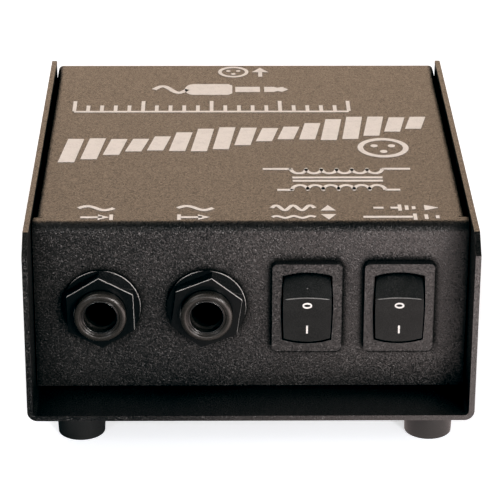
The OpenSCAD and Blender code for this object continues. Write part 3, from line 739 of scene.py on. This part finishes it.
def rocker_skin(kind):
    """A function that finds the point on a rocker's face at x right of and y above its bezel's middle, both
    in millimetres."""
    mesh = frame["nodes"][kind + "_rocker"].data
    skin = BVHTree.FromPolygons([v.co for v in mesh.vertices], [p.vertices for p in mesh.polygons])
    low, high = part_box(kind + "_switch_housing")
    middle = (low + high) / 2
    ahead = low.y - 10 * MM

    def on_rocker(x, y):
        start = Vector((middle.x + x * MM, ahead, middle.z + y * MM))
        return skin.ray_cast(start, BACKWARD)[0]

    return on_rocker


def rocker_signs(kind):
    """The ring and the bar on a rocker's lower face."""
    shapes = ring(0, 1.2, 0.87, 0.48, 0.36) + [bar(0, -4.45, 0.40, 1.85)]
    print_marks(f"print_{kind}_rocker", shapes, kind + "_rocker_body", rocker_skin(kind), FORWARD)


def bead(name, points, radius, body, finish):
    """A round bead through a list of points, tapered and closed at both ends."""
    bm = bmesh.new()
    loops = []
    for i, point in enumerate(points):
        size = radius * (BEAD_END if i in (0, len(points) - 1) else 1.0)
        turns = [2 * math.pi * j / BEAD_SIDES for j in range(BEAD_SIDES)]
        loops.append([bm.verts.new(point + Vector((0, math.cos(t), math.sin(t))) * size) for t in turns])
    for here, there in zip(loops, loops[1:]):
        bridge(bm, here, there)
    bm.faces.new(loops[0])
    bm.faces.new(loops[-1])
    finish_piece(name, bm, body, finish)


def rocker_crest(kind):
    """A fine bead along the ridge between a rocker's two faces, coloured pale as a painted highlight of the
    ridge.
    """
    on_rocker = rocker_skin(kind)
    places = [step / CREST_STEPS for step in range(-CREST_STEPS, CREST_STEPS + 1)]
    points = [on_rocker(t * CREST_HALF, CREST_UP + CREST_BULGE * (1 - t * t)) for t in places]
    bead(kind + "_rocker_crest", points, CREST_R * MM, kind + "_rocker_body", "crest_pale")


def gate_mark(kind):
    """The small scar where a rocker's mould was filled."""
    spot = rocker_skin(kind)(0, GATE_UP)
    points = [spot + Vector((t * GATE_HALF * MM, 0, 0)) for t in (-1, -0.5, 0, 0.5, 1)]
    bead(kind + "_rocker_gate_mark", points, GATE_R * MM, kind + "_rocker_body", "crest_pale")


rocker_crest("level")
gate_mark("level")
rocker_crest("ground")


def print_everything():
    socket_legends()
    level_legend()
    ground_legend()
    transformer_sign()
    outlet_sign()
    level_bars()
    scale_line()
    plug_sign()
    rear_legend()
    for kind in SWITCHES:
        rocker_signs(kind)


print_everything()


# ---- stage ----

FLOOR_HALF = 3.0
FLOOR_COLOURS = (0.80, 0.86, 0.93), (0.78, 0.84, 0.91)
FLOOR_GLOW = 0.60
# Painted reflections: what shines off the box sees these glowing colours instead of the paper: in front from
# left to right, and behind
CARD_DARK = (0.02, 0.03, 0.035)
CARD_LIGHT = (5.0, 4.15, 4.0)
CARD_BACK = (0.62, 0.54, 0.50)


def floor_paper():
    """Matt pale paper that looks evenly lit. What shines off the box sees painted reflections instead of the
    paper:
    glowing paper in front of the box that falls off towards the left, as beside a black card, and dimmer
    paper behind the box."""
    g = Graph("floor_paper")
    cloud = g.noise(0.4, detail=2.0)
    ray = g.nodes.new("ShaderNodeLightPath")
    g.set(
        Base_Color=g.blend(cloud, *FLOOR_COLOURS),
        Roughness=0.95,
        Emission_Color=(1.0, 1.0, 1.0),
        Emission_Strength=g.times(ray.outputs["Is Camera Ray"], FLOOR_GLOW),
    )
    place = g.nodes.new("ShaderNodeSeparateXYZ")
    g.links.new(g.place, place.inputs[0])
    across = g.calc("POWER", g.ramp(place.outputs["X"], -0.03, 0.12), 1.15)
    behind = g.ramp(place.outputs["Y"], 0.0, 0.06)
    card = g.nodes.new("ShaderNodeEmission")
    g.connect(g.blend(behind, g.blend(across, CARD_DARK, CARD_LIGHT), CARD_BACK), card.inputs["Color"])
    mix = g.nodes.new("ShaderNodeMixShader")
    g.links.new(ray.outputs["Is Glossy Ray"], mix.inputs["Fac"])
    g.links.new(g.surface.outputs["BSDF"], mix.inputs[1])
    g.links.new(card.outputs["Emission"], mix.inputs[2])
    output = next(n for n in g.nodes if n.type == "OUTPUT_MATERIAL")
    g.links.new(mix.outputs["Shader"], output.inputs["Surface"])
    return g.material


def build_stage():
    mesh = bpy.data.meshes.new("floor")
    corners = [(x * FLOOR_HALF, y * FLOOR_HALF, 0) for x, y in ((-1, -1), (1, -1), (1, 1), (-1, 1))]
    mesh.from_pydata(corners, [], [(0, 1, 2, 3)])
    floor = bpy.data.objects.new("floor", mesh)
    bpy.context.scene.collection.objects.link(floor)
    floor.data.materials.append(floor_paper())


# ---- light ----

SKY_FRONT = (0.03, 0.032, 0.035)
SKY_BACK = (1.78, 1.28, 0.90)
# In degrees: the glow's middle above the horizon, and its full and outer half angles
GLOW_UP, GLOW_FULL, GLOW_EDGE = 24, 18, 34

# Name, place, target, width and height in metres; power in watts; colour
LIGHTS = [
    ("key", (0.88, -0.62, 0.62), (0, 0, 0.02), (0.45, 0.45), 5.0, (1.0, 0.95, 0.92)),
    ("front", (0.40, -0.78, 0.28), (0, -0.05, 0.03), (0.20, 0.14), 5.0, (1.0, 0.93, 0.91)),
    ("low", (0.06, -0.95, 0.13), (0, -0.05, 0.03), (0.50, 0.10), 1.2, (1.0, 0.95, 0.93)),
    ("left", (-0.42, -0.78, 0.42), (0, -0.05, 0.03), (0.10, 0.10), 1.4, (0.95, 0.97, 1.0)),
    ("fill", (-0.9, -0.5, 0.9), (0, 0, 0.02), (1.0, 1.0), 1.5, (0.92, 0.96, 1.0)),
    ("top", (-0.75, 0.35, 1.25), (0, 0, 0.02), (0.9, 0.9), 9.0, (1.0, 0.93, 0.86)),
]


def soft_light(name, place, target, size, power, colour):
    data = bpy.data.lights.new(name, "AREA")
    data.shape = "RECTANGLE"
    data.size, data.size_y = size
    data.energy = power
    data.color = colour
    lamp = bpy.data.objects.new(name, data)
    bpy.context.scene.collection.objects.link(lamp)
    lamp.location = place
    lamp.rotation_euler = (Vector(target) - Vector(place)).to_track_quat("-Z", "Y").to_euler()


def build_sky():
    """A broad warm glow low behind the box, and little light from above or from the camera's side."""
    world = bpy.data.worlds.new("studio")
    bpy.context.scene.world = world
    world.use_nodes = True
    nodes, links = world.node_tree.nodes, world.node_tree.links
    aim = math.radians(GLOW_UP)
    toward = nodes.new("ShaderNodeVectorMath")
    toward.operation = "DOT_PRODUCT"
    toward.inputs[1].default_value = (0, math.cos(aim), math.sin(aim))
    links.new(nodes.new("ShaderNodeTexCoord").outputs["Generated"], toward.inputs[0])
    edge = nodes.new("ShaderNodeMapRange")
    edge.interpolation_type = "SMOOTHSTEP"
    edge.inputs["From Min"].default_value = math.cos(math.radians(GLOW_EDGE))
    edge.inputs["From Max"].default_value = math.cos(math.radians(GLOW_FULL))
    links.new(toward.outputs["Value"], edge.inputs["Value"])
    blend = nodes.new("ShaderNodeMix")
    blend.data_type = "RGBA"
    links.new(edge.outputs["Result"], blend.inputs["Factor"])
    blend.inputs[MIX_A].default_value = (*SKY_FRONT, 1)
    blend.inputs[MIX_B].default_value = (*SKY_BACK, 1)
    links.new(blend.outputs[MIX_RESULT], nodes["Background"].inputs["Color"])


def build_light():
    build_sky()
    for light in LIGHTS:
        soft_light(*light)


# ---- camera and tones ----

# The photograph's viewing angle: a place in millimetres, then degrees down, to the right and of roll
CAMERA_PLACE = (-6.9, -531.2, 262.0)
CAMERA_TILTS = (24.295, 0.79, -0.21)
LENS = 179.8
SENSOR = 36
# Subtracted from each colour, so that the deepest shadows lean to blue
BLACK_LEVEL = (0.004, 0.0020, 0.0015)


def build_camera():
    pitch, yaw, roll = (math.radians(a) for a in CAMERA_TILTS)
    ahead = Vector((math.sin(yaw) * math.cos(pitch), math.cos(yaw) * math.cos(pitch), -math.sin(pitch)))
    level_up = Vector((math.sin(yaw) * math.sin(pitch), math.cos(yaw) * math.sin(pitch), math.cos(pitch)))
    level_right = Vector((math.cos(yaw), -math.sin(yaw), 0))
    right = level_right * math.cos(roll) - level_up * math.sin(roll)
    up = level_right * math.sin(roll) + level_up * math.cos(roll)
    data = bpy.data.cameras.new("camera")
    data.lens = LENS
    data.sensor_width = SENSOR
    data.clip_start = 0.01
    camera = bpy.data.objects.new("camera", data)
    bpy.context.scene.collection.objects.link(camera)
    camera.matrix_world = Matrix((right, up, -ahead)).transposed().to_4x4()
    camera.location = Vector(CAMERA_PLACE) * MM
    bpy.context.scene.camera = camera


def set_tones():
    view = bpy.context.scene.view_settings
    view.view_transform = "Standard"
    view.use_curve_mapping = True
    view.curve_mapping.black_level = BLACK_LEVEL
    view.curve_mapping.update()


build_stage()
build_light()
build_camera()
set_tones()
